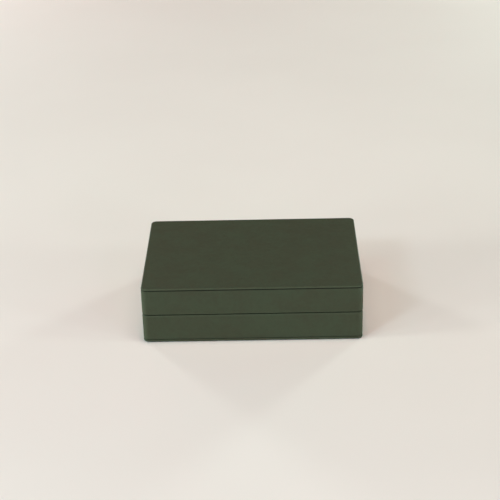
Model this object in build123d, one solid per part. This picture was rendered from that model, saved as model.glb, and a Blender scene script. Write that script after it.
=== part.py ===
from build123d import *
import math
import os

# Two-deck playing card box: a hinged, leather-covered case.
# Base and lid are each a mitred fibreboard frame with a thin board closing it,
# a leather band round the sides, a leather sheet turned over the closed face,
# and a suede lining. Two solid brass stop hinges carry the lid at the back.
# Frame: +Z up, +X along the long side, -Y is the opening (front) side.
# Origin: middle of the resting face. Units: millimetres.

# ---------------------------------------------------------------- driving sizes
W = 152.0            # outside, left to right
D = 110.0            # outside, front to back, without the hinge barrels
H = 41.7             # outside height, closed
SEAM_Z = 21.55       # middle of the joint line between base and lid
RIM_GAP = 0.2        # air between the two leather-covered rims, closed
RC = 4.0             # plan radius of the four upright corners, outside

LEATHER = 1.0        # side band and turned sheets
RIM_LEATHER = 0.5    # the band is pared thin where it turns over the rim
TURN_IN = 5.0        # depth of the band's turn-in down the inside of the frame
TURN_IN_T = 0.4      # its thickness there
TOP_SKIRT = 1.3      # how far the top sheet comes down over the sides
BOTTOM_SKIRT = 1.95  # how far the bottom sheet turns up over the sides
BAND_GAP = 0.15      # open line between band and turned sheet
SHEET_T = 1.1        # top sheet thickness over the board
RIM_FILLET = 0.7     # outer edge of each rim
EDGE_FILLET = 0.9    # outer edge of top and bottom
SEAM_FILLET = 0.25   # outer edge of the sheets at the seams

WALL = 6.0           # fibreboard frame
BOARD = 3.0          # fibreboard closing board, top and bottom
FOOT_PROUD = 0.3     # suede foot sheet stands this far below the leather
FOOT_BORDER = 12.0   # leather border round the foot sheet

LINER = 1.1          # suede-covered lining card
LINER_SET = 0.6      # lining stops this far short of the rim
DIVIDER = 4.0        # suede-covered divider between the two wells
FLOOR_PAD = 4.0      # foam and suede on the floor of each well
LID_PAD = 8.0        # foam and suede cushion inside the lid

# hinges
HINGE_X = 42.0       # centre of each hinge, left and right
HINGE_L = 24.0       # length along the pin
LEAF_T = 0.85
LEAF_IN = 6.6        # leaf reach from the back face into the rim
PIVOT_OUT = 1.55     # pin centre behind the back face
KNUCKLE_R = 1.5
PIN_R = 0.75
PIN_CLEAR = 0.04
KNUCKLE_HALF = 4.0   # half length of the middle knuckle
STOP_DEG = 50.5      # each stop face from the horizontal, so they meet past 100
HEEL_R = 3.0
SCREW_X = 8.2        # hinge screws from the hinge centre
SCREW_IN = 4.0       # hinge screws from the back face
SCREW_HEAD_R = 1.6
SCREW_R = 0.8
SCREW_L = 8.4

# closing magnets
MAG_R = 2.0
MAG_T = 2.5
MAG_X = 45.0

# ---------------------------------------------------------------- derived sizes
CW, CD, CR = W - 2 * LEATHER, D - 2 * LEATHER, RC - LEATHER      # carcass outline
IW, ID = CW - 2 * WALL, CD - 2 * WALL                            # carcass inside
TW, TD = IW - 2 * TURN_IN_T, ID - 2 * TURN_IN_T                  # inside turn-in
LW, LD = TW - 2 * LINER, TD - 2 * LINER                          # clear inside

BASE_RIM = SEAM_Z - RIM_GAP / 2
LID_RIM = SEAM_Z + RIM_GAP / 2
BASE_WALL_TOP = BASE_RIM - RIM_LEATHER
LID_WALL_BOT = LID_RIM + RIM_LEATHER

FOOT_T = FOOT_PROUD + 0.8
BOTTOM_BOARD_Z = FOOT_T
BASE_FLOOR = BOTTOM_BOARD_Z + BOARD
TOP_BOARD_TOP = H - SHEET_T
LID_CEIL = TOP_BOARD_TOP - BOARD
BOTTOM_SEAM = FOOT_PROUD + BOTTOM_SKIRT
TOP_SEAM = H - TOP_SKIRT
PIVOT_Y = D / 2 + PIVOT_OUT


# ---------------------------------------------------------------- helpers
def slab(w, d, r, z0, z1):
    face = RectangleRounded(w, d, r) if r > 0 else Rectangle(w, d)
    return Pos(0, 0, z0) * extrude(face, amount=z1 - z0)


def block(x0, x1, y0, y1, z0, z1):
    return Pos((x0 + x1) / 2, (y0 + y1) / 2, (z0 + z1) / 2) * Box(
        x1 - x0, y1 - y0, z1 - z0
    )


def edges_at(shape, z):
    return [
        e
        for e in shape.edges()
        if abs(e.bounding_box().min.Z - z) < 1e-4
        and abs(e.bounding_box().max.Z - z) < 1e-4
    ]


def rod_x(x0, x1, y, z, r):
    return Pos((x0 + x1) / 2, y, z) * Rot(0, 90, 0) * Cylinder(r, x1 - x0)


def prism_x(points, x0, x1):
    # closed polygon of (y, z) points, extruded along X
    face = Plane.YZ * make_face(Polyline(*points, close=True).edges())
    return Pos(x0, 0, 0) * extrude(face, amount=x1 - x0)


def both(make):
    return [make(-1), make(1)]


def save(name, *shapes):
    shape = shapes[0] if len(shapes) == 1 else Compound(children=list(shapes))
    export_step(shape, f"parts/{name}.step")


def mirror_z(shape):
    # turns a base piece into the matching lid piece, about the joint line
    return mirror(shape, about=Plane.XY.offset(SEAM_Z))


# ---------------------------------------------------------------- hinge recess
def leaf_recess(x, lower):
    z0, z1 = (
        (SEAM_Z - 0.05 - LEAF_T - 0.05, SEAM_Z + 0.02)
        if lower
        else (SEAM_Z - 0.02, SEAM_Z + 0.05 + LEAF_T + 0.05)
    )
    return block(
        x - HINGE_L / 2 - 0.1,
        x + HINGE_L / 2 + 0.1,
        D / 2 - LEAF_IN - 0.1,
        D / 2 + 1.0,
        z0,
        z1,
    )


# ---------------------------------------------------------------- frame walls
def frame_walls(z0, z1):
    ring = slab(CW, CD, CR, z0, z1) - slab(IW, ID, 0, z0 - 1, z1 + 1)
    k = WALL + 6.0
    a, b = CW / 2, CD / 2
    cuts = {
        "front": [(-a, -b), (a, -b), (a - k, -b + k), (-a + k, -b + k)],
        "back": [(-a, b), (-a + k, b - k), (a - k, b - k), (a, b)],
        "left": [(-a, -b), (-a + k, -b + k), (-a + k, b - k), (-a, b)],
        "right": [(a, -b), (a, b), (a - k, b - k), (a - k, -b + k)],
    }
    out = {}
    for side, pts in cuts.items():
        face = make_face(Polyline(*pts, close=True).edges())
        out[side] = ring & (Pos(0, 0, z0 - 1) * extrude(face, amount=z1 - z0 + 2))
    return out


def magnet(x, lower):
    # lies in the front wall, just under the rim leather
    z = BASE_WALL_TOP - MAG_T / 2 - 0.05 if lower else LID_WALL_BOT + MAG_T / 2 + 0.05
    return Pos(x, -CD / 2 + WALL / 2, z) * Cylinder(MAG_R, MAG_T)


def magnet_pocket(x, lower):
    z0, z1 = (
        (BASE_WALL_TOP - MAG_T - 0.15, BASE_WALL_TOP + 1)
        if lower
        else (LID_WALL_BOT - 1, LID_WALL_BOT + MAG_T + 0.15)
    )
    return Pos(x, -CD / 2 + WALL / 2, (z0 + z1) / 2) * Cylinder(MAG_R + 0.05, z1 - z0)


def screw(x, lower):
    # slotted countersunk wood screw, plain shank with a pointed end
    top = SEAM_Z - 0.05 - 0.03
    t = LEAF_T - 0.03
    profile = [
        (0, top),
        (SCREW_HEAD_R, top),
        (SCREW_R, top - (SCREW_HEAD_R - SCREW_R)),
        (SCREW_R, top - t - SCREW_L + 1.4),
        (0, top - t - SCREW_L),
    ]
    face = Plane.XZ * make_face(Polyline(*profile, close=True).edges())
    body = revolve(face, Axis.Z)
    body -= Pos(0, 0, top) * Box(2 * SCREW_HEAD_R + 1, 0.45, 0.7)
    body = Pos(x, D / 2 - SCREW_IN, 0) * body
    return body if lower else mirror_z(body)


def screw_hole(x, lower):
    top = SEAM_Z - 0.05
    c = 0.05
    profile = [
        (0, top + 1),
        (SCREW_HEAD_R + c, top + 1),
        (SCREW_HEAD_R + c, top - 0.02),
        (SCREW_R + c, top - 0.02 - (SCREW_HEAD_R - SCREW_R)),
        (SCREW_R + c, top - LEAF_T - SCREW_L + 1.3),
        (0, top - LEAF_T - SCREW_L - 0.15),
    ]
    face = Plane.XZ * make_face(Polyline(*profile, close=True).edges())
    body = Pos(x, D / 2 - SCREW_IN, 0) * revolve(face, Axis.Z)
    return body if lower else mirror_z(body)


SCREW_XS = [s * HINGE_X + t * SCREW_X for s in (-1, 1) for t in (-1, 1)]


# ---------------------------------------------------------------- leather band
def side_band(lower):
    # made for the base: rim at the top, seam groove at the bottom
    z0 = BOTTOM_SEAM + BAND_GAP
    if not lower:
        z0 = 2 * SEAM_Z - (TOP_SEAM - BAND_GAP)   # mirrored into the lid later
    z1 = BASE_RIM
    body = slab(W, D, RC, z0, z1)
    body = fillet(edges_at(body, z1), RIM_FILLET)
    body = fillet(edges_at(body, z0), 0.3)
    body -= slab(CW, CD, CR, z0 - 1, BASE_WALL_TOP)
    body -= slab(TW, TD, 0, z0 - 1, z1 + 1)
    turn = slab(IW, ID, 0, BASE_WALL_TOP - TURN_IN, BASE_WALL_TOP)
    turn -= slab(TW, TD, 0, BASE_WALL_TOP - TURN_IN - 1, BASE_WALL_TOP + 1)
    body += turn
    inner = [
        e
        for e in edges_at(body, z1)
        if e.bounding_box().max.X < TW / 2 + 0.01
        and e.bounding_box().min.X > -TW / 2 - 0.01
        and e.bounding_box().max.Y < TD / 2 + 0.01
        and e.bounding_box().min.Y > -TD / 2 - 0.01
    ]
    body = fillet(inner, 0.35)
    # the band's two ends meet in a fine line at the middle of the back
    body -= block(-0.06, 0.06, D / 2 - WALL - 3, D / 2 + 1, z0 - 1, z1 + 1)
    for s in (-1, 1):
        body -= leaf_recess(s * HINGE_X, True)
    return body if lower else mirror_z(body)


def top_sheet():
    body = slab(W, D, RC, TOP_SEAM, H)
    body = fillet(edges_at(body, H), EDGE_FILLET)
    body = fillet(edges_at(body, TOP_SEAM), SEAM_FILLET)
    return body - slab(CW, CD, CR, TOP_SEAM - 1, TOP_BOARD_TOP)


def bottom_sheet():
    z0, z1 = FOOT_PROUD, BOTTOM_SEAM
    body = slab(W, D, RC, z0, z1)
    body = fillet(edges_at(body, z0), EDGE_FILLET)
    body = fillet(edges_at(body, z1), SEAM_FILLET)
    body -= slab(CW, CD, CR, BOTTOM_BOARD_Z, z1 + 1)
    body -= slab(W - 2 * FOOT_BORDER, D - 2 * FOOT_BORDER, 2.0, z0 - 1, z1 + 1)
    return body


# ---------------------------------------------------------------- hinge pieces
def knuckle(x0, x1):
    return rod_x(x0, x1, PIVOT_Y, SEAM_Z, KNUCKLE_R)


def heel(x0, x1):
    # lower stop lug, behind and below the pin; its upper face is the stop
    a = math.radians(STOP_DEG)
    pts = [
        (0.9 * math.cos(a), -0.9 * math.sin(a)),
        (HEEL_R * math.cos(a), -HEEL_R * math.sin(a)),
        (0.95, -2.75),
        (-0.75, -1.25),
    ]
    return prism_x([(PIVOT_Y + y, SEAM_Z + z) for y, z in pts], x0, x1)


def leaf(x, lower):
    # made as a lower leaf; the upper leaf has the middle knuckle instead
    h = HINGE_L / 2
    top = SEAM_Z - 0.05
    plate = block(
        x - h, x + h, D / 2 - LEAF_IN, D / 2 - 0.1, top - LEAF_T, top
    )
    plate = fillet(
        [
            e
            for e in plate.edges().filter_by(Axis.Z)
            if e.center().Y < D / 2 - LEAF_IN + 0.1
        ],
        0.8,
    )
    if lower:
        spans = [(-h, -KNUCKLE_HALF - 0.05), (KNUCKLE_HALF + 0.05, h)]
    else:
        spans = [(-KNUCKLE_HALF + 0.05, KNUCKLE_HALF - 0.05)]
    body = plate
    for a, b in spans:
        body += block(x + a, x + b, D / 2 - 0.2, PIVOT_Y, top - LEAF_T, top)
        body += knuckle(x + a, x + b)
        if not lower:
            body += heel(x + a, x + b)
    if lower:
        bar = heel(x - h, x + h)
        bar -= rod_x(
            x - KNUCKLE_HALF - 0.05,
            x + KNUCKLE_HALF + 0.05,
            PIVOT_Y,
            SEAM_Z,
            KNUCKLE_R + 0.15,
        )
        body += bar
    body -= rod_x(x - h - 1, x + h + 1, PIVOT_Y, SEAM_Z, PIN_R + PIN_CLEAR)
    for t in (-1, 1):
        body -= screw_hole(x + t * SCREW_X, True)
    return body if lower else mirror_z(body)


def pin(x):
    h = HINGE_L / 2 + 0.35
    body = rod_x(x - h, x + h, PIVOT_Y, SEAM_Z, PIN_R)
    return fillet(body.edges().filter_by(GeomType.CIRCLE), 0.25)


# ---------------------------------------------------------------- lining pieces
def lining(z0, z1, rim_at_top):
    z_rim = z1 if rim_at_top else z0

    def soften(b, r=0.45):
        return fillet(
            [e for e in edges_at(b, z_rim) if e.length > 20], r
        )

    ow, od = TW - 0.1, TD - 0.1
    out = {
        "front": soften(block(-ow / 2, ow / 2, -od / 2, -LD / 2, z0, z1)),
        "back": soften(block(-ow / 2, ow / 2, LD / 2, od / 2, z0, z1)),
        "left": soften(block(-ow / 2, -LW / 2, -LD / 2 + 0.05, LD / 2 - 0.05, z0, z1)),
        "right": soften(block(LW / 2, ow / 2, -LD / 2 + 0.05, LD / 2 - 0.05, z0, z1)),
    }
    return out


def divider():
    body = block(
        -DIVIDER / 2, DIVIDER / 2, -LD / 2 + 0.1, LD / 2 - 0.1, BASE_FLOOR, BASE_RIM - 1.0
    )
    return fillet([e for e in edges_at(body, BASE_RIM - 1.0) if e.length > 20], 1.6)


def floor_pad(s):
    x0, x1 = DIVIDER / 2 + 0.2, LW / 2 - 0.2
    body = block(x0, x1, -LD / 2 + 0.2, LD / 2 - 0.2, BASE_FLOOR, BASE_FLOOR + FLOOR_PAD)
    body = fillet(edges_at(body, BASE_FLOOR + FLOOR_PAD), 1.2)
    return body if s > 0 else mirror(body, about=Plane.YZ)


def lid_pad():
    z0 = LID_CEIL - LID_PAD
    body = slab(LW - 0.5, LD - 0.5, 1.5, z0, LID_CEIL)
    return fillet(edges_at(body, z0), 2.5)


# ---------------------------------------------------------------- build and save
def main():
    os.makedirs("parts", exist_ok=True)

    base_walls = frame_walls(BASE_FLOOR, BASE_WALL_TOP)
    lid_walls = frame_walls(LID_WALL_BOT, LID_CEIL)
    for lower, walls in ((True, base_walls), (False, lid_walls)):
        for s in (-1, 1):
            walls["back"] -= leaf_recess(s * HINGE_X, lower)
            walls["front"] -= magnet_pocket(s * MAG_X, lower)
        for x in SCREW_XS:
            walls["back"] -= screw_hole(x, lower)
    for side in ("front", "back", "left", "right"):
        save(f"base_{side}_wall", base_walls[side])
        save(f"lid_{side}_wall", lid_walls[side])

    save("base_bottom_board", slab(CW, CD, CR, BOTTOM_BOARD_Z, BASE_FLOOR))
    save("lid_top_board", slab(CW, CD, CR, LID_CEIL, TOP_BOARD_TOP))

    save("base_side_leather", side_band(True))
    save("lid_side_leather", side_band(False))
    save("lid_top_leather", top_sheet())
    save("base_bottom_leather", bottom_sheet())
    save(
        "foot_sheet",
        slab(W - 2 * FOOT_BORDER - 0.6, D - 2 * FOOT_BORDER - 0.6, 1.7, 0, FOOT_T),
    )

    base_lining = lining(BASE_FLOOR, BASE_RIM - LINER_SET, True)
    lid_lining = lining(LID_RIM + LINER_SET, LID_CEIL, False)
    for side in ("front", "back", "left", "right"):
        save(f"base_{side}_lining", base_lining[side])
        save(f"lid_{side}_lining", lid_lining[side])
    save("deck_divider", divider())
    save("left_well_pad", floor_pad(-1))
    save("right_well_pad", floor_pad(1))
    save("lid_pad", lid_pad())

    save("base_magnets", *both(lambda s: magnet(s * MAG_X, True)))
    save("lid_magnets", *both(lambda s: magnet(s * MAG_X, False)))

    for s, side in ((-1, "left"), (1, "right")):
        save(f"{side}_hinge_lower_leaf", leaf(s * HINGE_X, True))
        save(f"{side}_hinge_upper_leaf", leaf(s * HINGE_X, False))
        save(f"{side}_hinge_pin", pin(s * HINGE_X))
    save("base_hinge_screws", *[screw(x, True) for x in SCREW_XS])
    save("lid_hinge_screws", *[screw(x, False) for x in SCREW_XS])

    print("outside", W, D, H, "clear inside", LW, LD)
    print("well floor z", BASE_FLOOR + FLOOR_PAD, "lid pad z", LID_CEIL - LID_PAD)
    print("pivot y", PIVOT_Y, "z", SEAM_Z)


main()
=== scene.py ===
import math

import bmesh
import bpy
import numpy as np
from mathutils import Matrix, Vector, noise


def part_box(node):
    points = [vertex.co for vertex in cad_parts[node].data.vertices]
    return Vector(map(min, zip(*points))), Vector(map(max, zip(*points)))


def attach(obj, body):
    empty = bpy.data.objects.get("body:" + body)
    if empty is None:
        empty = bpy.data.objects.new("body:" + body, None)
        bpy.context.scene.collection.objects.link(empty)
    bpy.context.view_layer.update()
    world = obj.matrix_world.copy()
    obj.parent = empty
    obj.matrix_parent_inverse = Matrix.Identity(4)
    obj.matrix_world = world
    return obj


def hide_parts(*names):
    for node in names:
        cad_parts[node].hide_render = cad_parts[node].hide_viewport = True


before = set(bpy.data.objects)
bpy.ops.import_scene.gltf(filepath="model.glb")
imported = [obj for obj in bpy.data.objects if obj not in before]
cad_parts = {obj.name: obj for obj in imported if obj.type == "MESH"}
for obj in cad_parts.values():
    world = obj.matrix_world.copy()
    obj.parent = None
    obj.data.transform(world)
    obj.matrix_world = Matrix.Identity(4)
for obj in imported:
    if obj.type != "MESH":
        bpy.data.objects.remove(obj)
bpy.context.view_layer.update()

MM = 0.001


def box_mm(node):
    lo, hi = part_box(node)
    return [v * 1000 for v in lo], [v * 1000 for v in hi]


# ------------------------------------------------------------------ sizes from the frame
BAND_LO, BAND_HI = box_mm("base_side_leather")
LBAND_LO, LBAND_HI = box_mm("lid_side_leather")
TOP_LO, TOP_HI = box_mm("lid_top_leather")
BOT_LO, BOT_HI = box_mm("base_bottom_leather")
WALL_LO, WALL_HI = box_mm("base_left_wall")
W = TOP_HI[0] - TOP_LO[0]
D = TOP_HI[1] - TOP_LO[1]
RC = 4.0              # plan radius of the upright corners
LEATHER = 1.0
RIM_T = 0.5           # leather over the rim
TURN_T = 0.4          # turned-in leather
TURN_D = 5.0          # depth of the turn-in
WALL = 6.0
RIM_R = 0.7
EDGE_R = 0.9
SEAM_R = 0.36
BAND_R = 0.42
HINGE_XS = (-42.0, 42.0)
RECESS_L = 24.2
RECESS_IN = 6.7
SEAM_Z = (BAND_HI[2] + LBAND_LO[2]) / 2


# ------------------------------------------------------------------ small mesh tools
def fbm(p, scale, seed=0.0, octaves=3):
    v, amp, tot = 0.0, 1.0, 0.0
    q = Vector((p[0] / scale + seed, p[1] / scale - seed * 0.7, p[2] / scale + seed * 1.3))
    for _ in range(octaves):
        v += amp * noise.noise(q)
        tot += amp
        amp *= 0.5
        q = q * 2.03
    return v / tot


def new_object(name, verts_mm, faces, smooth_deg=42, merge=0.0):
    me = bpy.data.meshes.new(name)
    v = np.asarray(verts_mm, float) * MM
    me.from_pydata(v.tolist(), [], [tuple(int(i) for i in f) for f in faces])
    bm = bmesh.new()
    bm.from_mesh(me)
    if merge > 0:
        bmesh.ops.remove_doubles(bm, verts=bm.verts, dist=merge * MM)
    bmesh.ops.dissolve_degenerate(bm, edges=bm.edges, dist=1e-7)
    bmesh.ops.recalc_face_normals(bm, faces=bm.faces)
    bm.to_mesh(me)
    bm.free()
    me.shade_smooth()
    me.set_sharp_from_angle(angle=math.radians(smooth_deg))
    ob = bpy.data.objects.new(name, me)
    bpy.context.scene.collection.objects.link(ob)
    return ob


def float_attribute(ob, name, fn):
    me = ob.data
    co = np.zeros(len(me.vertices) * 3)
    me.vertices.foreach_get("co", co)
    co = co.reshape(-1, 3) * 1000
    values = np.array([fn(p) for p in co], np.float32)
    a = me.attributes.get(name) or me.attributes.new(name, "FLOAT", "POINT")
    a.data.foreach_set("value", values)


def shift_vertices(ob, fn):
    """fn(point in mm, normal) gives the move in mm."""
    me = ob.data
    n = len(me.vertices)
    co = np.zeros(n * 3)
    no = np.zeros(n * 3)
    me.vertices.foreach_get("co", co)
    me.vertices.foreach_get("normal", no)
    co = co.reshape(-1, 3) * 1000
    no = no.reshape(-1, 3)
    out = np.array([p + np.asarray(fn(p, q)) for p, q in zip(co, no)])
    me.vertices.foreach_set("co", (out * MM).ravel())
    me.update()


def ride(ob, body, node=None, material=None):
    if material is not None:
        ob.data.materials.clear()
        ob.data.materials.append(material)
    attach(ob, body)
    if node:
        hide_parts(*([node] if isinstance(node, str) else node))
    return ob


def arc(cx, cy, r, a0, a1, n):
    out = []
    for i in range(n + 1):
        a = math.radians(a0 + (a1 - a0) * i / n)
        out.append((cx + r * math.cos(a), cy + r * math.sin(a)))
    return out


def run(p, q, step, ends=False):
    """points from p to q, without the ends unless asked"""
    d = math.dist(p, q)
    n = max(1, round(d / step))
    pts = [(p[0] + (q[0] - p[0]) * i / n, p[1] + (q[1] - p[1]) * i / n) for i in range(n + 1)]
    return pts if ends else pts[1:-1]


# ------------------------------------------------------------------ rings round the box
def stations(step=1.5, corner=14, seams=()):
    """(kind, side, t) round the outline: four straights and four corners, with close
    stations where a butt seam crosses the back."""
    out = []
    for side in range(4):
        length = (W if side % 2 == 0 else D) - 2 * RC
        n = round(length / step)
        ts = [i / n for i in range(n)]
        if side == 2:
            for x in seams:
                c = 0.5 - x / length
                ts = [t for t in ts if abs(t - c) * length > 1.2]
                ts += [c + k / length for k in (-1.0, -0.6, -0.35, -0.2, -0.1, -0.04, 0.04, 0.1, 0.2, 0.35, 0.6, 1.0)]
        ts.sort()
        out += [("s", side, t) for t in ts]
        out += [("c", side, i / corner) for i in range(corner)]
    return out


def plan(st, d, r):
    """plan points of the rounded outline d inside the outside face"""
    a, b = W / 2 - d, D / 2 - d
    pts = []
    for kind, side, t in st:
        if kind == "s":
            if side == 0:
                pts.append((-(a - r) + 2 * (a - r) * t, -b))
            elif side == 1:
                pts.append((a, -(b - r) + 2 * (b - r) * t))
            elif side == 2:
                pts.append(((a - r) - 2 * (a - r) * t, b))
            else:
                pts.append((-a, (b - r) - 2 * (b - r) * t))
        else:
            cx, cy = [(a - r, -(b - r)), (a - r, b - r), (-(a - r), b - r), (-(a - r), -(b - r))][side]
            ang = math.radians(-90 + 90 * side + 90 * t)
            pts.append((cx + r * math.cos(ang), cy + r * math.sin(ang)))
    return pts


def ring(profile, st, radius=None, closed=True):
    """verts and faces of a profile, a loop of (inset, z), carried round the box"""
    radius = radius or (lambda d: max(RC - d, 0.18))
    verts, faces = [], []
    n = len(st)
    for d, z in profile:
        verts += [(x, y, z) for x, y in plan(st, d, radius(d))]
    m = len(profile)
    for i in range(m if closed else m - 1):
        j = (i + 1) % m
        for k in range(n):
            l = (k + 1) % n
            faces.append((i * n + k, i * n + l, j * n + l, j * n + k))
    return verts, faces


def corner_angle(p):
    """how far round an upright corner a point is: 0 on the straights, 1 at the middle of the corner"""
    ax, ay = abs(p[0]) - (W / 2 - RC), abs(p[1]) - (D / 2 - RC)
    if ax <= 0 or ay <= 0:
        return 0.0
    return math.sin(2 * math.atan2(ay, ax))


def smoothstep(a, b, v):
    t = min(1.0, max(0.0, (v - a) / (b - a)))
    return t * t * (3 - 2 * t)


def edge_depth(p):
    """distance inside the outline, in plan"""
    ax, ay = abs(p[0]), abs(p[1])
    qx, qy = ax - (W / 2 - RC), ay - (D / 2 - RC)
    if qx > 0 and qy > 0:
        return RC - math.hypot(qx, qy)
    return min(W / 2 - ax, D / 2 - ay)


# ------------------------------------------------------------------ materials
class Net:
    def __init__(self, name):
        self.mat = bpy.data.materials.new(name)
        self.mat.use_nodes = True
        self.t = self.mat.node_tree
        self.t.nodes.clear()
        self.out = self.t.nodes.new("ShaderNodeOutputMaterial")
        self.bsdf = self.t.nodes.new("ShaderNodeBsdfPrincipled")
        self.t.links.new(self.bsdf.outputs[0], self.out.inputs[0])
        tc = self.t.nodes.new("ShaderNodeTexCoord")
        self.p = self.scale(tc.outputs["Object"], 1000.0)

    def node(self, kind, **props):
        n = self.t.nodes.new(kind)
        for k, v in props.items():
            setattr(n, k, v)
        return n

    def put(self, n, name, value):
        s = n.inputs[name]
        if isinstance(value, bpy.types.NodeSocket):
            self.t.links.new(value, s)
        else:
            s.default_value = value

    def scale(self, v, k):
        n = self.node("ShaderNodeVectorMath", operation="MULTIPLY")
        self.put(n, 0, v)
        n.inputs[1].default_value = k if isinstance(k, (tuple, list)) else (k, k, k)
        return n.outputs[0]

    def add_v(self, a, b):
        n = self.node("ShaderNodeVectorMath", operation="ADD")
        self.put(n, 0, a)
        self.put(n, 1, b)
        return n.outputs[0]

    def math(self, op, a, b=0.0, clamp=False):
        n = self.node("ShaderNodeMath", operation=op, use_clamp=clamp)
        self.put(n, 0, a)
        self.put(n, 1, b)
        return n.outputs[0]

    def noise(self, scale, detail=3.0, rough=0.5, vec=None, distortion=0.0, color=False):
        n = self.node("ShaderNodeTexNoise")
        self.put(n, "Vector", vec or self.p)
        self.put(n, "Scale", scale)
        self.put(n, "Detail", detail)
        self.put(n, "Roughness", rough)
        self.put(n, "Distortion", distortion)
        return n.outputs["Color" if color else "Fac"]

    def cells(self, scale, vec=None, feature="DISTANCE_TO_EDGE", random=0.9):
        n = self.node("ShaderNodeTexVoronoi", feature=feature)
        self.put(n, "Vector", vec or self.p)
        self.put(n, "Scale", scale)
        self.put(n, "Randomness", random)
        return n.outputs["Distance"]

    def remap(self, v, a, b, c, d, smooth=False):
        n = self.node("ShaderNodeMapRange", interpolation_type="SMOOTHSTEP" if smooth else "LINEAR")
        self.put(n, "Value", v)
        for k, x in zip(("From Min", "From Max", "To Min", "To Max"), (a, b, c, d)):
            n.inputs[k].default_value = x
        return n.outputs[0]

    def mix(self, fac, a, b, blend="MIX"):
        n = self.node("ShaderNodeMix", data_type="RGBA", blend_type=blend)
        self.put(n, 0, fac)
        self.put(n, 6, (*a, 1.0) if isinstance(a, (tuple, list)) else a)
        self.put(n, 7, (*b, 1.0) if isinstance(b, (tuple, list)) else b)
        return n.outputs[2]

    def attribute(self, name):
        n = self.node("ShaderNodeAttribute", attribute_name=name)
        return n.outputs["Fac"]

    def bump(self, height, distance_mm, strength=1.0, normal=None):
        n = self.node("ShaderNodeBump")
        self.put(n, "Height", height)
        n.inputs["Strength"].default_value = strength
        n.inputs["Distance"].default_value = distance_mm * MM
        if normal is not None:
            self.t.links.new(normal, n.inputs["Normal"])
        return n.outputs[0]

    def set(self, **values):
        for k, v in values.items():
            self.put(self.bsdf, k.replace("_", " "), v)


def leather(name, dark, light, spec=0.12, rough=0.62):
    """smooth calf-type leather: fine closed pebble grain with creases, pores, slow changes of
    tone, folded edges a little lighter and smoother from wear, the rounded corners lightened
    as a painted highlight, and seam edges darkened as painted shade"""
    n = Net(name)
    warp = n.noise(0.8, 3.0, color=True)
    q = n.add_v(n.p, n.scale(warp, 1.1))
    firm = n.remap(n.noise(0.28, 3.0, 0.6), 0.38, 0.66, 0.25, 1.0, True)
    pebble = n.remap(n.cells(1.45, q), 0.0, 0.26, 0.0, 1.0, True)
    pebble = n.math("SUBTRACT", 1.0, n.math("MULTIPLY", n.math("SUBTRACT", 1.0, pebble), firm))
    small = n.remap(n.cells(3.4, q), 0.0, 0.24, 0.0, 1.0, True)
    pores = n.remap(n.cells(2.4, q, "F1", 1.0), 0.03, 0.15, 0.0, 1.0, True)
    fine = n.noise(8.0, 4.0, 0.62)
    h = n.math("ADD", n.math("MULTIPLY", pebble, 0.42), n.math("MULTIPLY", small, 0.22))
    h = n.math("ADD", h, n.math("MULTIPLY", pores, 0.12))
    h = n.math("ADD", h, n.math("MULTIPLY", fine, 0.42))
    slow = n.noise(0.045, 4.0, 0.55)
    mid = n.noise(0.35, 3.0, 0.6)
    edge = n.attribute("edge_wear_and_highlight")
    tone = n.math("ADD", n.math("MULTIPLY", slow, 0.65), n.math("MULTIPLY", mid, 0.35))
    colour = n.mix(n.remap(tone, 0.36, 0.64, 0.0, 1.0, True), dark, light)
    crease = n.math("ADD", n.remap(pebble, 0.0, 1.0, 0.925, 1.0), n.remap(fine, 0.3, 0.7, -0.02, 0.035))
    colour = n.mix(1.0, colour, n.combine(crease), "MULTIPLY")
    # painted shade: seam edges and the outer strip of each rim are darkened to stand for the shadow in the joints
    colour = n.mix(n.math("MULTIPLY", n.attribute("painted_joint_shade"), 0.85), colour, tuple(c * 0.22 for c in dark))
    # lighter colour on folded edges: wear, and on the rounded corners a painted highlight
    wear_highlight_colour = tuple(min(1.0, c * 1.5 + 0.01) for c in light)
    wear_and_highlight = n.math("MULTIPLY", edge, n.remap(n.noise(1.6, 3.0, 0.6), 0.40, 0.75, 0.10, 0.55))
    colour = n.mix(wear_and_highlight, colour, wear_highlight_colour)
    r = n.remap(tone, 0.3, 0.7, rough + 0.05, rough - 0.05)
    r = n.math("ADD", r, n.remap(pebble, 0.0, 1.0, 0.10, 0.0))
    r = n.math("SUBTRACT", r, n.math("MULTIPLY", edge, 0.07))
    soft = n.bump(mid, 0.10, 0.22)
    n.set(Base_Color=colour, Roughness=r, Normal=n.bump(h, 0.05, 0.55, soft))
    n.bsdf.inputs["Specular IOR Level"].default_value = spec
    return n.mat


def combine(self, v):
    c = self.node("ShaderNodeCombineColor")
    for k in ("Red", "Green", "Blue"):
        self.put(c, k, v)
    return c.outputs[0]


Net.combine = combine


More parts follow.
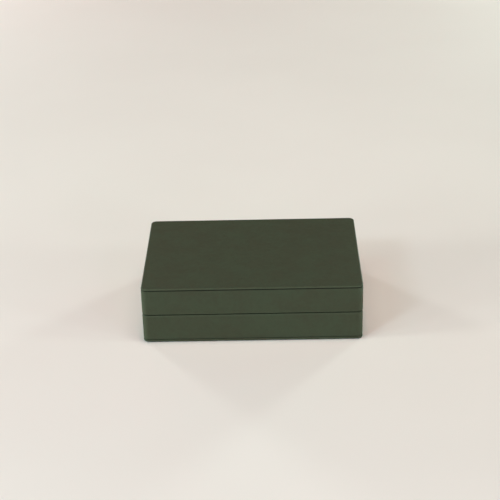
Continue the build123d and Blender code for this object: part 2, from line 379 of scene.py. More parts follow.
def suede(name, dark, light, nap=(1.0, 0.6, 1.0), sheen=0.35, tint=(1, 1, 1)):
    """microsuede: short nap lying in brushed patches over a fine fibre grain"""
    n = Net(name)
    patches = n.noise(0.055, 2.0, 0.5, n.scale(n.p, nap), 0.8)
    strokes = n.noise(0.9, 4.0, 0.65, n.scale(n.p, nap))
    fibre = n.noise(9.0, 4.0, 0.7)
    fleck = n.noise(22.0, 2.0, 0.6)
    tone = n.math("ADD", n.math("MULTIPLY", patches, 0.72), n.math("MULTIPLY", strokes, 0.28))
    colour = n.mix(n.remap(tone, 0.32, 0.68, 0.0, 1.0, True), dark, light)
    colour = n.mix(1.0, colour, n.combine(n.remap(fibre, 0.3, 0.7, 0.88, 1.10)), "MULTIPLY")
    h = n.math("ADD", n.math("MULTIPLY", fibre, 0.7), n.math("MULTIPLY", fleck, 0.3))
    n.set(Base_Color=colour, Roughness=n.remap(tone, 0.3, 0.7, 0.97, 0.88), Normal=n.bump(h, 0.10, 0.55, n.bump(strokes, 0.12, 0.35)))
    n.bsdf.inputs["Specular IOR Level"].default_value = 0.12
    n.bsdf.inputs["Sheen Weight"].default_value = sheen
    n.bsdf.inputs["Sheen Roughness"].default_value = 0.45
    n.bsdf.inputs["Sheen Tint"].default_value = (*tint, 1)
    return n.mat


def brass(name, base, deep, rough=0.30, brush=(0.5, 9.0, 9.0)):
    """satin brass: fine lines along the hinge, a thin brown film in patches"""
    n = Net(name)
    lines = n.noise(1.6, 4.0, 0.65, n.scale(n.p, brush))
    film = n.noise(0.5, 4.0, 0.6, None, 0.4)
    spots = n.remap(n.noise(2.6, 3.0, 0.6), 0.60, 0.78, 0.0, 1.0, True)
    colour = n.mix(n.remap(film, 0.42, 0.68, 0.0, 0.55, True), base, deep)
    colour = n.mix(n.math("MULTIPLY", spots, 0.35), colour, tuple(c * 0.55 for c in deep))
    r = n.math("ADD", n.remap(lines, 0.3, 0.7, rough - 0.05, rough + 0.08), n.math("MULTIPLY", spots, 0.12))
    n.set(Base_Color=colour, Roughness=r, Normal=n.bump(lines, 0.012, 0.5))
    n.bsdf.inputs["Metallic"].default_value = 1.0
    return n.mat


def fibreboard(name):
    """raw fibreboard: pressed wood fibres, darker flecks, a furry cut edge"""
    n = Net(name)
    strands = n.noise(1.1, 5.0, 0.65, n.scale(n.p, (0.5, 0.5, 3.5)), 1.2)
    flecks = n.remap(n.noise(2.4, 3.0, 0.6, n.scale(n.p, (1.0, 1.0, 2.2))), 0.58, 0.72, 0.0, 1.0, True)
    colour = n.mix(n.remap(strands, 0.35, 0.65, 0.0, 1.0), (0.30, 0.20, 0.115), (0.47, 0.34, 0.21))
    colour = n.mix(n.math("MULTIPLY", flecks, 0.5), colour, (0.19, 0.115, 0.06))
    n.set(Base_Color=colour, Roughness=n.remap(strands, 0.3, 0.7, 0.95, 0.82), Normal=n.bump(strands, 0.12, 0.6))
    n.bsdf.inputs["Specular IOR Level"].default_value = 0.2
    return n.mat


def nickel(name):
    n = Net(name)
    swirl = n.noise(3.5, 4.0, 0.6, n.scale(n.p, (4.0, 1.0, 1.0)))
    cloud = n.noise(0.8, 3.0)
    colour = n.mix(n.remap(cloud, 0.35, 0.65, 0.0, 1.0), (0.55, 0.55, 0.53), (0.70, 0.69, 0.66))
    n.set(Base_Color=colour, Roughness=n.remap(swirl, 0.3, 0.7, 0.18, 0.32), Normal=n.bump(swirl, 0.006, 0.4))
    n.bsdf.inputs["Metallic"].default_value = 1.0
    return n.mat


GREEN_DARK = (0.0454, 0.0529, 0.0290)
GREEN_LIGHT = (0.0456, 0.0599, 0.0327)
M_LEATHER = leather("green_leather", GREEN_DARK, GREEN_LIGHT)
M_SUEDE = suede("lining_suede", (0.315, 0.222, 0.138), (0.405, 0.290, 0.184), sheen=0.30, tint=(1.0, 0.9, 0.78))
M_FOOT = suede("foot_suede", (0.028, 0.037, 0.024), (0.038, 0.049, 0.032), sheen=0.12, tint=(0.85, 1.0, 0.85))
M_BOARD = fibreboard("fibreboard")
M_BRASS = brass("hinge_brass", (0.80, 0.58, 0.27), (0.50, 0.32, 0.12))
M_SCREW = brass("screw_brass", (0.76, 0.54, 0.24), (0.44, 0.27, 0.10), 0.26, (5.0, 5.0, 0.8))
M_NICKEL = nickel("magnet_nickel")


# ------------------------------------------------------------------ leather bands
def band_profile(z_seam, z_rim):
    """Loop of (inset, z) of a side band made for the base: seam edge low, rim high, then down
    the inside as the turn-in. The lid's band is the same, upside down."""
    up = 1.0 if z_rim > z_seam else -1.0
    z = lambda v: z_seam + up * v
    h = abs(z_rim - z_seam)
    inner = LEATHER + WALL + TURN_T
    pts = [(LEATHER, z(0.0)), (LEATHER - 0.25, z(0.02))]
    pts += [(d, z(v)) for d, v in arc(BAND_R, BAND_R, BAND_R, 270, 180, 5)]
    pts += [(d, z(v)) for d, v in run((0.0, BAND_R), (0.0, h - RIM_R), 1.1)]
    pts += [(d, z(v)) for d, v in arc(RIM_R, h - RIM_R, RIM_R, 180, 90, 8)]
    pts += [(d, z(v)) for d, v in run((RIM_R, h), (inner - 0.35, h), 0.65)]
    pts += [(d, z(v)) for d, v in arc(inner - 0.35, h - 0.35, 0.35, 90, 0, 5)]
    pts += [(d, z(v)) for d, v in run((inner, h - 0.35), (inner, h - RIM_T - TURN_D + 0.1), 1.0)]
    pts += [(inner, z(h - RIM_T - TURN_D + 0.1)), (inner - 0.1, z(h - RIM_T - TURN_D)), (inner - TURN_T, z(h - RIM_T - TURN_D))]
    pts += [(d, z(v)) for d, v in run((inner - TURN_T, h - RIM_T - TURN_D), (inner - TURN_T, h - RIM_T), 1.7)]
    pts += [(inner - TURN_T, z(h - RIM_T))]
    pts += [(d, z(v)) for d, v in run((inner - TURN_T, h - RIM_T), (LEATHER, h - RIM_T), 2.0)]
    pts += [(LEATHER, z(h - RIM_T))]
    pts += [(d, z(v)) for d, v in run((LEATHER, h - RIM_T), (LEATHER, 0.0), 4.0)]
    return pts


def cut_boxes(ob, boxes):
    """takes boxes, in mm, out of a closed mesh"""
    bm = bmesh.new()
    for x0, x1, y0, y1, z0, z1 in boxes:
        m = Matrix.LocRotScale(
            Vector(((x0 + x1) / 2, (y0 + y1) / 2, (z0 + z1) / 2)) * MM, None,
            Vector((x1 - x0, y1 - y0, z1 - z0)) * MM,
        )
        bmesh.ops.create_cube(bm, size=1.0, matrix=m)
    me = bpy.data.meshes.new("cut")
    bm.to_mesh(me)
    bm.free()
    tool = bpy.data.objects.new("cut", me)
    bpy.context.scene.collection.objects.link(tool)
    mod = ob.modifiers.new("cut", "BOOLEAN")
    mod.operation, mod.solver, mod.object = "DIFFERENCE", "EXACT", tool
    bpy.context.view_layer.update()
    dg = bpy.context.evaluated_depsgraph_get()
    done = bpy.data.meshes.new_from_object(ob.evaluated_get(dg))
    ob.modifiers.clear()
    old = ob.data
    ob.data = done
    bpy.data.meshes.remove(old)
    bpy.data.objects.remove(tool)
    ob.data.shade_smooth()
    ob.data.set_sharp_from_angle(angle=math.radians(42))


BAND_ST = stations(1.5, 14, seams=(0.0,))


def painted_joint_shade(distance, full, none):
    """mask of painted shade: 1 on the edge of a seam or rim, falling to 0"""
    return 1.0 - smoothstep(full, none, distance)


def side_band(name, z_seam, z_rim, seed):
    verts, faces = ring(band_profile(z_seam, z_rim), BAND_ST)
    ob = new_object(name, verts, faces)
    up = 1.0 if z_rim > z_seam else -1.0
    inner = LEATHER + WALL + TURN_T

    def move(p, nrm):
        d = edge_depth(p)
        out = Vector(nrm)
        v = Vector((0, 0, 0))
        if d < 0.95 or abs(p[2] - z_rim) < 0.45:
            # the skin is never quite flat: slow swell, then a finer unevenness
            a = 0.030 * fbm(p, 26.0, seed) + 0.012 * fbm(p, 5.0, seed + 3)
            v += out * (a - 0.018)
        if d < 0.95:
            # cut edge of the band wanders a little along the seam
            k = 1.0 - smoothstep(0.0, 1.2, abs(p[2] - z_seam))
            v.z += up * k * 0.030 * (fbm(p, 9.0, seed + 7) + 0.4)
            v -= Vector((out.x, out.y, 0)) * k * 0.05
        if p[1] > D / 2 - 1.2 and abs(p[0]) < 1.3 and d < 0.95:
            # the two ends of the band butt together at the middle of the back
            g = math.exp(-(p[0] / 0.11) ** 2)
            lift = 0.05 * math.exp(-((abs(p[0]) - 0.42) / 0.22) ** 2)
            v.y += -0.36 * g + lift * 0.6
        if abs(p[2] - z_rim) < 0.3 and d > RIM_R * 0.9:
            # rim: lower in the middle of its width where the board under it gives
            t = (d - RIM_R) / (inner - RIM_R)
            v.z -= up * 0.05 * math.sin(math.pi * min(1.0, max(0.0, t)))
            # mitred turn-in at each inner corner
            c = abs((W / 2 - abs(p[0])) - (D / 2 - abs(p[1])))
            if abs(p[0]) > W / 2 - inner - 0.5 and abs(p[1]) > D / 2 - inner - 0.5:
                v.z -= up * 0.13 * math.exp(-(c / 0.16) ** 2) * smoothstep(RIM_R, RIM_R + 1.2, d)
        return v

    shift_vertices(ob, move)
    z0, z1 = (SEAM_Z - 0.95, SEAM_Z + 2.0) if up > 0 else (SEAM_Z - 2.0, SEAM_Z + 0.95)
    cut_boxes(ob, [(x - RECESS_L / 2, x + RECESS_L / 2, D / 2 - RECESS_IN - 1.5, D / 2 + 2, z0, z1) for x in HINGE_XS])

    def edge_wear_and_highlight(p):
        d = edge_depth(p)
        r = math.hypot(d, abs(p[2] - z_rim))
        v = 1.0 - smoothstep(0.25, 1.1, r)
        # painted highlight: the upright corners are lightened to stand for the light line along them
        v = max(v, 0.55 * corner_angle(p) * (1.0 if d < 0.8 else 0.0))
        v = max(v, 0.5 * (1.0 - smoothstep(0.05, 0.6, math.hypot(d - inner, p[2] - z_rim))))
        return v

    float_attribute(ob, "edge_wear_and_highlight", edge_wear_and_highlight)
    # painted shade along the seam edge and the outer strip of the rim, standing for the shadow in the joint
    float_attribute(ob, "painted_joint_shade", lambda p: max(
        painted_joint_shade(abs(p[2] - z_seam), 0.10, 0.46), 0.45 * painted_joint_shade(abs(p[2] - z_rim), 0.0, 0.25) * smoothstep(0.12, 0.4, edge_depth(p)) * (1.0 - smoothstep(0.6, 1.7, edge_depth(p)))))
    return ob


ride(side_band("base_side_leather_skin", BAND_LO[2], BAND_HI[2] - 0.23, 11.3), "base", "base_side_leather", M_LEATHER)
ride(side_band("lid_side_leather_skin", LBAND_HI[2] - 0.06, LBAND_LO[2] + 0.06, 27.9), "lid", "lid_side_leather", M_LEATHER)


# ------------------------------------------------------------------ top and bottom sheets
def top_sheet():
    st = stations(1.5, 16)
    z1, z0 = TOP_HI[2], TOP_LO[2]
    under = z1 - 1.1
    core = RC + 1.0
    prof = [(core, z1)]
    prof += [(d, z) for d, z in run((core, z1), (EDGE_R, z1), 0.8)]
    prof += [(d, z) for d, z in arc(EDGE_R, z1 - EDGE_R, EDGE_R, 90, 180, 9)]
    prof += [(SEAM_R + SEAM_R * math.cos(math.radians(a)), z0 + SEAM_R + SEAM_R * math.sin(math.radians(a))) for a in (180, 202, 225, 247, 270)]
    prof += [(LEATHER - 0.05, z0), (LEATHER, z0 + 0.03), (LEATHER, under), (core, under)]
    verts, faces = ring(prof, st, radius=lambda d: max(RC - d, 0.0), closed=False)
    n = len(st)
    # close the flat faces with a grid on the innermost loops
    a, b = W / 2 - core, D / 2 - core
    nx = sum(1 for s in st if s[0] == "s" and s[1] == 0)
    ny = sum(1 for s in st if s[0] == "s" and s[1] == 1)
    for z in (z1, under):
        base = len(verts)
        for j in range(ny + 1):
            for i in range(nx + 1):
                verts.append((-a + 2 * a * i / nx, -b + 2 * b * j / ny, z))
        for j in range(ny):
            for i in range(nx):
                k = base + j * (nx + 1) + i
                faces.append((k, k + 1, k + nx + 2, k + nx + 1))
    ob = new_object("lid_top_leather_skin", verts, faces, merge=0.001)

    def move(p, nrm):
        d = edge_depth(p)
        out = Vector(nrm)
        v = Vector((0, 0, 0))
        if p[2] > z0 + 0.05 and (p[2] > under + 0.05 or d < 0.95):
            a_ = 0.045 * fbm(p, 34.0, 4.4) + 0.014 * fbm(p, 6.0, 9.1)
            v += out * (a_ - 0.02)
            if p[2] > z1 - 0.02:
                # shallow line where the leather leaves the board's rounded edge
                v.z -= 0.035 * math.exp(-((d - 2.3) / 0.8) ** 2)
        if d < 0.95:
            k = 1.0 - smoothstep(0.0, 0.5, p[2] - z0)
            v.z += k * 0.028 * (fbm(p, 8.0, 2.2) + 0.35)
            c = corner_angle(p)
            if c > 0:
                ang = math.atan2(abs(p[1]) - (D / 2 - RC), abs(p[0]) - (W / 2 - RC))
                v -= Vector((out.x, out.y, 0)) * k * 0.05 * c * (0.5 + 0.5 * math.cos(ang * 22))
        return v

    shift_vertices(ob, move)

    def edge_wear_and_highlight(p):
        d = edge_depth(p)
        if p[2] < under:
            return 0.15
        v = 1.0 - smoothstep(0.3, 1.2, math.hypot(d, z1 - p[2]))
        # painted highlight on the rounded corners, added to the edge wear
        return max(v, 0.6 * corner_angle(p) * (1.0 if d < 0.8 else 0.0))

    float_attribute(ob, "edge_wear_and_highlight", edge_wear_and_highlight)
    # painted shade along the lower edge of the skirt, standing for the shadow in the seam
    float_attribute(ob, "painted_joint_shade", lambda p: painted_joint_shade(abs(p[2] - z0), 0.08, 0.40) if edge_depth(p) < 1.2 else 0.0)
    return ob


def bottom_sheet():
    st = stations(1.8, 14)
    z0, z1 = BOT_LO[2], BOT_HI[2]
    board = z0 + 0.8
    edge = 12.0
    prof = [(LEATHER, z1 - 0.03), (LEATHER - 0.05, z1)]
    prof += [(SEAM_R + SEAM_R * math.cos(math.radians(a)), z1 - SEAM_R + SEAM_R * math.sin(math.radians(a))) for a in (90, 112, 135, 157, 180)]
    prof += [(d, z) for d, z in run((0.0, z1 - SEAM_R), (0.0, z0 + EDGE_R), 0.3)]
    prof += [(d, z) for d, z in arc(EDGE_R, z0 + EDGE_R, EDGE_R, 180, 270, 9)]
    prof += [(d, z) for d, z in run((EDGE_R, z0), (edge - 0.2, z0), 1.2)]
    prof += [(d, z) for d, z in arc(edge - 0.2, z0 + 0.2, 0.2, 270, 360, 4)]
    prof += [(edge, board), (edge - 3.0, board), (LEATHER + 3.0, board), (LEATHER, board)]
    verts, faces = ring(prof, st, radius=lambda d: max(RC - d, 2.0 * smoothstep(2.5, edge, d), 0.1))
    ob = new_object("base_bottom_leather_skin", verts, faces)

    def move(p, nrm):
        d = edge_depth(p)
        out = Vector(nrm)
        v = Vector((0, 0, 0))
        if d < 0.95 or p[2] < board - 0.1:
            v += out * (0.028 * fbm(p, 24.0, 6.6) + 0.010 * fbm(p, 5.0, 1.7) - 0.018)
        if d < 0.95:
            k = 1.0 - smoothstep(0.0, 0.5, z1 - p[2])
            v.z -= k * 0.028 * (fbm(p, 8.0, 5.2) + 0.35)
        # corners of the border are folded in small pleats
        c = corner_angle(p)
        if c > 0 and p[2] < z0 + 0.5:
            ang = math.atan2(abs(p[1]) - (D / 2 - RC), abs(p[0]) - (W / 2 - RC))
            v.z += 0.06 * c * (0.5 + 0.5 * math.cos(ang * 18))
        return v

    shift_vertices(ob, move)
    # edge wear, with a painted highlight on the rounded corners
    float_attribute(ob, "edge_wear_and_highlight", lambda p: max(1.0 - smoothstep(0.3, 1.3, math.hypot(edge_depth(p), p[2] - z0)), 0.5 * corner_angle(p)))
    # faint painted shade along the seam at the top of the border
    float_attribute(ob, "painted_joint_shade", lambda p: 0.08 * painted_joint_shade(abs(p[2] - z1), 0.0, 0.3))
    return ob


ride(top_sheet(), "lid", "lid_top_leather", M_LEATHER)
ride(bottom_sheet(), "base", "base_bottom_leather", M_LEATHER)


# ------------------------------------------------------------------ rounded boxes: cards, pads
def axis_marks(lo, hi, r, step, n):
    """grid lines with n of them inside each rounding, evenly turned"""
    near = [r * (1 - math.tan(math.pi / 4 * (1 - k / n))) for k in range(n)]
    m = max(1, round((hi - lo - 2 * r) / step))
    mid = [lo + r + (hi - lo - 2 * r) * i / m for i in range(m + 1)]
    return [lo + v for v in near] + mid + [hi - v for v in reversed(near)]


def rounded_box(name, lo, hi, r, step=1.6, n=4):
    ax = [axis_marks(lo[i], hi[i], r, step, n) for i in range(3)]
    verts, faces, index = [], [], {}

    def vid(p):
        key = tuple(round(c, 5) for c in p)
        if key not in index:
            q = [min(max(p[i], lo[i] + r), hi[i] - r) for i in range(3)]
            e = Vector([p[i] - q[i] for i in range(3)])
            if e.length > 1e-9:
                e = e.normalized() * r
            index[key] = len(verts)
            verts.append((q[0] + e.x, q[1] + e.y, q[2] + e.z))
        return index[key]

    for k in range(3):
        u, v = [i for i in range(3) if i != k]
        for end in (lo[k], hi[k]):
            for i in range(len(ax[u]) - 1):
                for j in range(len(ax[v]) - 1):
                    quad = []
                    for a, b in ((i, j), (i + 1, j), (i + 1, j + 1), (i, j + 1)):
                        p = [0, 0, 0]
                        p[k], p[u], p[v] = end, ax[u][a], ax[v][b]
                        quad.append(vid(p))
                    faces.append(quad)
    return new_object(name, verts, faces, 60)


def lining(side, body, seed):
    node = f"{body}_{side}_lining"
    lo, hi = box_mm(node)
    ob = rounded_box(node + "_card", lo, hi, 0.42, 1.5, 4)
    thin = 1 if side in ("front", "back") else 0
    inward = -1 if side in ("back", "right") else 1

    def move(p, nrm):
        v = Vector((0, 0, 0))
        face = nrm[thin] * inward
        if face > 0.2:
            v[thin] = inward * (0.05 * fbm(p, 14.0, seed) + 0.02 * fbm(p, 3.0, seed + 2) - 0.06)
        v.z += 0.04 * fbm(p, 11.0, seed + 5) * (1 if abs(nrm[2]) > 0.5 else 0) - (0.03 if nrm[2] > 0.5 else -0.03 if nrm[2] < -0.5 else 0)
        return v

    shift_vertices(ob, move)
    return ride(ob, body, node, M_SUEDE)


for i, side in enumerate(("front", "back", "left", "right")):
    lining(side, "base", 3.1 + i)
    lining(side, "lid", 13.7 + i)


def divider():
    lo, hi = box_mm("deck_divider")
    r = 1.6
    prof = [(lo[0] + 0.3, lo[2]), (lo[0] + 0.08, lo[2] + 0.08), (lo[0], lo[2] + 0.3)]
    prof += run((lo[0], lo[2] + 0.3), (lo[0], hi[2] - r), 1.2)
    prof += arc(lo[0] + r, hi[2] - r, r, 180, 90, 8)
    prof += run((lo[0] + r, hi[2]), (hi[0] - r, hi[2]), 0.4)
    prof += arc(hi[0] - r, hi[2] - r, r, 90, 0, 8)
    prof += run((hi[0], hi[2] - r), (hi[0], lo[2] + 0.3), 1.2)
    prof += [(hi[0], lo[2] + 0.3), (hi[0] - 0.08, lo[2] + 0.08), (hi[0] - 0.3, lo[2])]
    ys = [lo[1], lo[1] + 0.15, lo[1] + 0.5] + [v for v, _ in run((lo[1] + 0.5, 0), (hi[1] - 0.5, 0), 1.4)] + [hi[1] - 0.5, hi[1] - 0.15, hi[1]]
    verts, faces = [], []
    m = len(prof)
    cx, cz = (lo[0] + hi[0]) / 2, (lo[2] + hi[2]) / 2
    for j, y in enumerate(ys):
        end = min(j, len(ys) - 1 - j)
        k = {0: 0.16, 1: 0.05}.get(end, 0.0)
        for x, z in prof:
            sx = 1 - k / 2.0
            verts.append((cx + (x - cx) * sx, y, cz + (z - cz) * (1 - k / 8.0)))
    for j in range(len(ys) - 1):
        for i in range(m):
            l = (i + 1) % m
            faces.append((j * m + i, j * m + l, (j + 1) * m + l, (j + 1) * m + i))
    faces.append(tuple(range(m)))
    faces.append(tuple(range((len(ys) - 1) * m, len(ys) * m)))
    ob = new_object("deck_divider_cover", verts, faces, 60)
    shift_vertices(ob, lambda p, q: Vector((q[0], 0, q[2])) * (0.05 * fbm(p, 12.0, 8.8) + 0.02 * fbm(p, 3.0, 1.1) - 0.05))
    return ride(ob, "base", "deck_divider", M_SUEDE)


divider()


def foot():
    lo, hi = box_mm("foot_sheet")
    ob = rounded_box("foot_sheet_suede", lo, hi, 0.25, 1.8, 3)

    def move(p, q):
        # rounded plan corners, and a slight uneven lift of the underside
        v = Vector((0, 0, 0))
        ex, ey = abs(p[0]) - (hi[0] - 1.7), abs(p[1]) - (hi[1] - 1.7)
        if ex > 0 and ey > 0:
            l = math.hypot(ex, ey)
            big = max(ex, ey)
            if l > 1e-6:
                v.x = math.copysign(ex * (big / l - 1.0), p[0])
                v.y = math.copysign(ey * (big / l - 1.0), p[1])
        if q[2] < -0.5:
            v.z += 0.03 * (fbm(p, 9.0, 2.9) + 0.5)
        return v

    shift_vertices(ob, move)
    return ride(ob, "base", "foot_sheet", M_FOOT)


foot()


# ------------------------------------------------------------------ padded pieces
def pad(name, node, body, glued, shrink, rise, cap, r, voxel=2.2, pressure=4.0, seed=1.0):
    """A foam pad wrapped in suede: a rounded slab is blown up by cloth simulation with its glued
    face held, its swelling is capped, and it is kept inside the space it has.
    glued is +1 if it is stuck down on its upper face, -1 on its lower face."""
    lo, hi = box_mm(node)
    slo = [lo[0] + shrink, lo[1] + shrink, lo[2] + (rise if glued > 0 else 0.0)]
    shi = [hi[0] - shrink, hi[1] - shrink, hi[2] - (rise if glued < 0 else 0.0)]
    ob = rounded_box(name, slo, shi, r, 2.0, 3)
    cx, cy = (lo[0] + hi[0]) / 2, (lo[1] + hi[1]) / 2
    hx, hy = (hi[0] - lo[0]) / 2, (hi[1] - lo[1]) / 2
    mod = ob.modifiers.new("remesh", "REMESH")
    mod.mode, mod.voxel_size = "VOXEL", voxel * MM
    bpy.context.view_layer.update()
    dg = bpy.context.evaluated_depsgraph_get()
    me = bpy.data.meshes.new_from_object(ob.evaluated_get(dg))
    ob.modifiers.clear()
    ob.data = me
    co = np.array([v.co for v in me.vertices]) * 1000
    glue_z = shi[2] if glued > 0 else slo[2]
    group = ob.vertex_groups.new(name="glued")
    for i, p in enumerate(co):
        k = 1.0 - smoothstep(0.4, 1.6, abs(p[2] - glue_z))
        if k > 0:
            group.add([i], k, "REPLACE")
    cloth = ob.modifiers.new("cloth", "CLOTH")
    s = cloth.settings
    s.quality = 6
    s.mass = 0.25
    s.tension_stiffness = s.compression_stiffness = 12
    s.shear_stiffness = 6
    s.bending_stiffness = 0.6
    s.use_pressure = True
    s.uniform_pressure_force = pressure
    s.vertex_group_mass = "glued"
    s.pin_stiffness = 1.0
    s.effector_weights.gravity = 0
    cloth.collision_settings.use_collision = False
    cloth.point_cache.frame_start, cloth.point_cache.frame_end = 1, 20
    scene = bpy.context.scene
    for f in range(1, 21):
        scene.frame_set(f)
    dg = bpy.context.evaluated_depsgraph_get()
    blown = bpy.data.meshes.new_from_object(ob.evaluated_get(dg))
    new = np.array([v.co for v in blown.vertices]) * 1000
    scene.frame_set(1)
    ob.modifiers.clear()
    ob.vertex_groups.clear()
    ob.data = blown
    move = new - co
    size = np.linalg.norm(move, axis=1)
    big = max(float(np.percentile(size, 98)), 1e-6)
    move = move * (cap / big)
    size = np.linalg.norm(move, axis=1)
    move = move * np.minimum(1.0, cap / np.maximum(size, 1e-9))[:, None]
    co = co + move
    blown.vertices.foreach_set("co", (co * MM).ravel())
    sub = ob.modifiers.new("sub", "SUBSURF")
    sub.levels = sub.render_levels = 1
    bpy.context.view_layer.update()
    dg = bpy.context.evaluated_depsgraph_get()
    ob.data = bpy.data.meshes.new_from_object(ob.evaluated_get(dg))
    ob.modifiers.clear()

    def shape(p, q):
        v = Vector((0, 0, 0))
        u, w = (p[0] - cx) / hx, (p[1] - cy) / hy
        free = (hi[2] - p[2]) if glued > 0 else (p[2] - lo[2])
        k = smoothstep(0.2, 1.0, free / (hi[2] - lo[2]))
        crown = max(0.0, 1 - u * u) ** 0.5 * max(0.0, 1 - w * w) ** 0.5
        v.z += -glued * k * ((rise * 0.30 * (crown - 0.6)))
        # sides draw in between the corners
        pull = 0.55 * k
        if abs(u) > 0.93:
            v.x -= math.copysign(pull * math.cos(w * math.pi / 2), u)
        if abs(w) > 0.93:
            v.y -= math.copysign(pull * math.cos(u * math.pi / 2), w)
        # slack in the cover: broad dimples and short tucks that run in from the corners
        v.z += -glued * k * 0.10 * fbm(p, 17.0, seed)
        dx, dy = hx * (1 - abs(u)), hy * (1 - abs(w))
        t = math.hypot(dx, dy)
        a = math.atan2(dy, dx)
        v.z += -glued * k * 0.16 * math.cos(a * 13 + seed) * math.exp(-((t - 3.5) / 3.2) ** 2)
        return v

    shift_vertices(ob, shape)

    def inside(p, q):
        r_ = [min(max(p[i], lo[i] + 0.04), hi[i] - 0.04) - p[i] for i in range(3)]
        return r_

    shift_vertices(ob, inside)
    ob.data.shade_smooth()
    return ride(ob, body, node, M_SUEDE)


pad("lid_pad_cushion", "lid_pad", "lid", +1, 0.5, 1.5, 1.5, 2.3, 2.2, 4.0, 2.0)
pad("left_well_pad_cushion", "left_well_pad", "base", -1, 0.25, 0.7, 0.7, 1.1, 1.7, 3.0, 5.0)
pad("right_well_pad_cushion", "right_well_pad", "base", -1, 0.25, 0.7, 0.7, 1.1, 1.7, 3.0, 9.0)


# ------------------------------------------------------------------ hinges and screws
def eased(node, body, material, width=0.07):
    """the CAD shape with its sharp machined edges eased"""
    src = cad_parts[node]
    bm = bmesh.new()
    bm.from_mesh(src.data)
    bmesh.ops.remove_doubles(bm, verts=bm.verts, dist=1e-6)
    bmesh.ops.dissolve_limit(bm, angle_limit=math.radians(1.0), verts=bm.verts, edges=bm.edges)
    bmesh.ops.dissolve_degenerate(bm, edges=bm.edges, dist=1e-6)
    sharp = [e for e in bm.edges if len(e.link_faces) == 2 and e.calc_face_angle(0) > math.radians(35)]
    bmesh.ops.bevel(bm, geom=sharp, offset=width * MM, offset_type="OFFSET", segments=2, profile=0.6, affect="EDGES", clamp_overlap=True)
    bmesh.ops.recalc_face_normals(bm, faces=bm.faces)
    me = bpy.data.meshes.new(node + "_eased")
    bm.to_mesh(me)
    bm.free()
    me.shade_smooth()
    me.set_sharp_from_angle(angle=math.radians(30))
    ob = bpy.data.objects.new(node + "_eased", me)
    bpy.context.scene.collection.objects.link(ob)
    return ride(ob, body, node, material)


for side in ("left", "right"):
    eased(f"{side}_hinge_lower_leaf", "base", M_BRASS)
    eased(f"{side}_hinge_upper_leaf", "lid", M_BRASS)
eased("base_hinge_screws", "base", M_SCREW, 0.04)
eased("lid_hinge_screws", "lid", M_SCREW, 0.04)

# ------------------------------------------------------------------ CAD pieces that stay
KEPT = {M_BOARD: [f"{b}_{s}_wall" for b in ("base", "lid") for s in ("front", "back", "left", "right")] + ["base_bottom_board", "lid_top_board"],
        M_BRASS: ["left_hinge_pin", "right_hinge_pin"],
        M_NICKEL: ["base_magnets", "lid_magnets"]}
for material, names in KEPT.items():
    for name in names:
        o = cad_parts[name]
        o.data.materials.clear()
        o.data.materials.append(material)


# ------------------------------------------------------------------ floor, light, camera
def paper():
    n = Net("paper")
    cloud = n.noise(0.004, 3.0, 0.5)
    fibre = n.noise(1.4, 4.0, 0.6)
    colour = n.mix(n.remap(cloud, 0.4, 0.6, 0.0, 1.0), (0.832, 0.785, 0.712), (0.846, 0.800, 0.726))
    colour = n.mix(1.0, colour, n.combine(n.remap(fibre, 0.3, 0.7, 0.995, 1.005)), "MULTIPLY")
    n.set(Base_Color=colour, Roughness=n.remap(fibre, 0.3, 0.7, 0.94, 0.9))
    n.bsdf.inputs["Specular IOR Level"].default_value = 0.1
    return n.mat


def sweep_floor():
    """seamless paper: flat under the box, rising in one wide curve far behind"""
    prof = [(-3200, 0.0)] + [(-3200 + 280 * i, 0.0) for i in range(1, 17)]
    prof += [(y, z) for y, z in arc(1300 - 0.0, 1600.0, 1600.0, 270, 345, 26)]
    xs = [-3200 + 200 * i for i in range(33)]
    verts = [(x, y, z) for y, z in prof for x in xs]
    m = len(xs)
    faces = [(j * m + i, j * m + i + 1, (j + 1) * m + i + 1, (j + 1) * m + i) for j in range(len(prof) - 1) for i in range(m - 1)]
    me = bpy.data.meshes.new("paper_floor")
    me.from_pydata([(x * MM, y * MM, z * MM) for x, y, z in verts], [], faces)
    me.shade_smooth()
    ob = bpy.data.objects.new("paper_floor", me)
    bpy.context.scene.collection.objects.link(ob)
    ob.data.materials.append(paper())


sweep_floor()

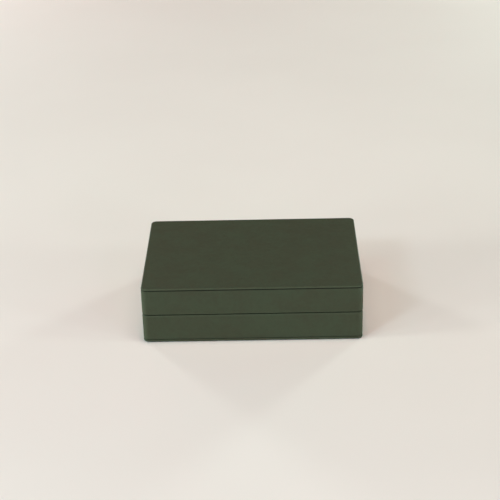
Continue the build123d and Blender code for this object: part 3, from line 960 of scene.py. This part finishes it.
# azimuth (0 = from the front, 90 = from +X), elevation, disc size in metres, colour, watts
LIGHTS = [
    (280, 10, 0.30, (0.908, 1.000, 0.978), 13.98),
    (140, 10, 0.30, (0.829, 1.000, 0.978), 11.56),
    (220, 10, 0.30, (0.887, 0.972, 1.000), 10.89),
    (80, 10, 0.30, (0.826, 1.000, 0.948), 8.38),
    (60, 10, 0.30, (0.811, 1.000, 0.999), 7.25),
    (300, 10, 0.30, (0.854, 0.975, 1.000), 6.90),
    (0, 90, 0.30, (1.000, 0.848, 0.783), 5.11),
    (320, 35, 0.30, (0.602, 0.842, 1.000), 4.84),
    (320, 10, 0.30, (0.997, 0.870, 1.000), 3.31),
    (60, 75, 0.50, (1.000, 0.934, 0.845), 2.89),
    (20, 10, 0.30, (1.000, 0.399, 0.765), 2.41),
    (40, 10, 0.30, (0.804, 0.807, 1.000), 2.38),
    (300, 75, 0.50, (0.949, 1.000, 0.893), 2.32),
    (0, 75, 0.50, (1.000, 0.000, 0.000), 1.79),
    (120, 10, 0.30, (0.073, 1.000, 0.841), 1.71),
    (300, 55, 0.30, (0.263, 0.906, 1.000), 1.33),
    (200, 10, 0.30, (1.000, 0.000, 0.000), 1.24),
    (40, 35, 0.30, (0.703, 0.818, 1.000), 1.08),
    (240, 10, 0.30, (0.000, 0.604, 1.000), 0.86),
    (160, 10, 0.30, (1.000, 0.000, 0.000), 0.80),
]
for i, (az, el, size, colour, watts) in enumerate(LIGHTS):
    lamp = bpy.data.lights.new(f"lamp_{i:02d}", "AREA")
    lamp.shape, lamp.size, lamp.energy, lamp.color = "DISK", size, watts, colour
    ob = bpy.data.objects.new(f"lamp_{i:02d}", lamp)
    bpy.context.scene.collection.objects.link(ob)
    a, e = math.radians(az), math.radians(el)
    d = Vector((math.sin(a) * math.cos(e), -math.cos(a) * math.cos(e), math.sin(e)))
    ob.location = d * 1.6
    ob.rotation_euler = d.to_track_quat("Z", "Y").to_euler()
    ob.visible_camera = False

world = bpy.data.worlds.new("studio")
bpy.context.scene.world = world
world.use_nodes = True
world.node_tree.nodes["Background"].inputs[0].default_value = (1.0, 0.97, 0.92, 1)
world.node_tree.nodes["Background"].inputs[1].default_value = 0.004

cam = bpy.data.cameras.new("camera")
cam.lens, cam.sensor_width = 96.83658, 36.0
cam.clip_start, cam.clip_end = 0.01, 40.0
camera = bpy.data.objects.new("camera", cam)
bpy.context.scene.collection.objects.link(camera)
right = Vector((0.9997221, 0.0062313, -0.022737))
up = Vector((0.0175923, 0.4448492, 0.8954327))
back = Vector((0.0156943, -0.8955838, 0.4446159))
camera.matrix_world = Matrix((
    (right.x, up.x, back.x, 0.0136120),
    (right.y, up.y, back.y, -0.8618541),
    (right.z, up.z, back.z, 0.4710182),
    (0, 0, 0, 1),
))
bpy.context.scene.camera = camera
bpy.context.scene.view_settings.view_transform = "Standard"
bpy.context.scene.view_settings.look = "None"
